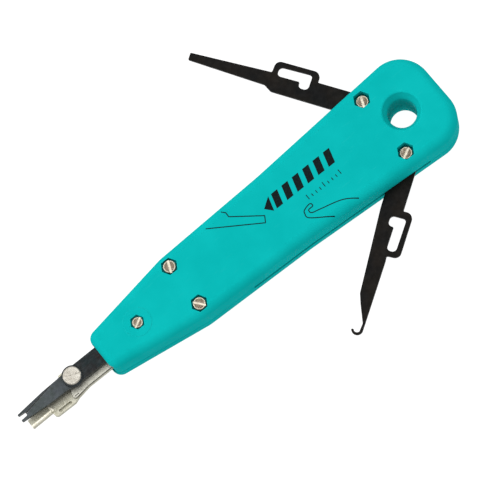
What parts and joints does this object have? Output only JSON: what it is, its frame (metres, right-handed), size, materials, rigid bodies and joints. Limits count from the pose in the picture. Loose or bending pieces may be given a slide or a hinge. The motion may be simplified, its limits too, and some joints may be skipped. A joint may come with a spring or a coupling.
{
  "type": "punch down tool",
  "caption": "Flat tapered punch-down tool with a forked insertion blade and scissor cutter at the nose, a hanging hole, and a spudger and a hook blade that fold out of the handle's sides.",
  "frame": {"origin": "on the flat back face of the handle, on its centre line, midway between the handle's two ends", "axes": "+X towards the punching tip, +Y towards the hook blade's side, +Z out of the front face"},
  "size_m": [0.1785, 0.1138, 0.017],
  "materials": {
    "teal_plastic": "fine moulded satin",
    "black_steel": "black oxide",
    "nickel": "warm nickel plate",
    "plated_screw": "plated",
    "steel": "machined",
    "spring_steel": "drawn",
    "acetal": "machined"
  },
  "bodies": {
    "handle": {"body_nut_left": "plated_screw", "body_nut_right": "plated_screw", "body_screw_left": "plated_screw", "body_screw_right": "plated_screw", "front_shell": "teal_plastic", "hook_blade_nut": "plated_screw", "hook_blade_screw": "plated_screw", "hook_blade_washer": "spring_steel", "nose_nut": "plated_screw", "nose_screw": "plated_screw", "rear_shell": "teal_plastic", "release_blade_nut": "plated_screw", "release_blade_screw": "plated_screw", "release_blade_washer": "spring_steel", "spring_anchor": "steel"},
    "punch_head": {"insertion_blade": "black_steel", "rear_cheek": "black_steel", "carriage_block": "acetal", "carriage_rivet_inner": "steel", "carriage_rivet_outer": "steel", "main_spring": "spring_steel", "spring_rod": "steel", "cutter_pivot_screw": "nickel", "cutter_pivot_nut": "nickel", "cutter_return_spring": "spring_steel"},
    "cutter": {"cutter_blade": "nickel", "lock_pin": "steel"},
    "cutter_lock": {"cutter_lock": "nickel"},
    "release_blade": {"release_blade": "black_steel"},
    "hook_blade": {"hook_blade": "black_steel"}
  },
  "joints": [
    {"name": "head_slide", "type": "slide", "parent": "handle", "child": "punch_head", "axis": [-1, 0, 0], "range_m": [0, 0.005], "stiffness_N_per_m": 2500, "springref_m": -0.0045, "deforming": ["main_spring"]},
    {"name": "cutter_pivot", "type": "hinge", "parent": "punch_head", "child": "cutter", "pos_m": [0.0839, 0, 0.0085], "axis": [0, 0, -1], "range_deg": [0, 5], "deforming": ["cutter_return_spring"]},
    {"name": "cutter_lock_slide", "type": "slide", "parent": "cutter", "child": "cutter_lock", "axis": [1, 0, 0], "range_m": [0, 0.003]},
    {"name": "release_blade_pivot", "type": "hinge", "parent": "handle", "child": "release_blade", "pos_m": [-0.0492, -0.0117, 0.0069], "axis": [0, 0, 1], "range_deg": [-37.8, 60.7]},
    {"name": "hook_blade_pivot", "type": "hinge", "parent": "handle", "child": "hook_blade", "pos_m": [-0.0492, 0.0117, 0.0069], "axis": [0, 0, 1], "range_deg": [-38, 60.5]}
  ],
  "couplings": [
    {"joint": "cutter_pivot", "follows": "head_slide", "rad_per_m": 17.4}
  ]
}
